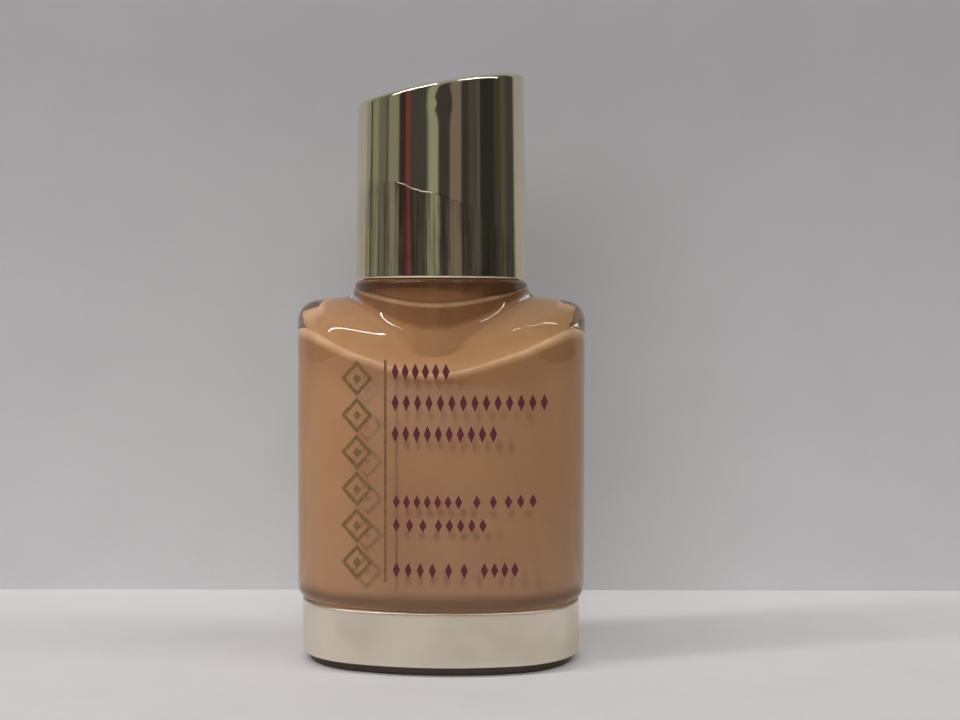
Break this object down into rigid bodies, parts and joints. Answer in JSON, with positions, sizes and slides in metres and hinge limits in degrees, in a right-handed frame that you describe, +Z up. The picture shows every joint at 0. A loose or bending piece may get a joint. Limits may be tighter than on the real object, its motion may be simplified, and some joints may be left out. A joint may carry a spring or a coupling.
{
  "type": "foundation bottle",
  "caption": "Oval clear glass makeup bottle of beige liquid, with an arched shoulder, a gold foot cup and a tall round gold screw cap with a slanted top.",
  "frame": {"origin": "middle of the resting face, under the bottle's axis", "axes": "+Z up along the bottle's axis, +X to the bottle's right, -Y out of its printed front"},
  "size_m": [0.048, 0.0331, 0.0972],
  "materials": {
    "clear_glass": "polished",
    "liquid_foundation": "glossy",
    "gold_metallised": "metallised gold, polished",
    "hot_melt": "satin",
    "label_paper": "matt",
    "liner_plastic": "satin",
    "wad_foam": "matt",
    "gold_ink": "satin",
    "plum_ink": "satin"
  },
  "bodies": {
    "bottle": {"glass_bottle": "clear_glass", "foundation": "liquid_foundation", "base_cup": "gold_metallised", "base_adhesive": "hot_melt", "base_label": "label_paper", "front_rule": "gold_ink", "front_ornament": "gold_ink", "front_beads": "plum_ink"},
    "seal": {"cap_seal_disc": "wad_foam"},
    "cap": {"cap_shell": "gold_metallised", "cap_liner": "liner_plastic", "cap_adhesive": "hot_melt"}
  },
  "joints": [
    {"name": "cap_rise", "type": "slide", "parent": "bottle", "child": "seal", "axis": [0, 0, 1], "range_m": [0, 0.01355]},
    {"name": "cap_turn", "type": "hinge", "parent": "seal", "child": "cap", "pos_m": [0, 0, 0.0768], "axis": [0, 0, 1], "range_deg": [0, 1530]}
  ],
  "couplings": [
    {"joint": "cap_rise", "follows": "cap_turn", "m_per_rad": 0.00050532}
  ]
}
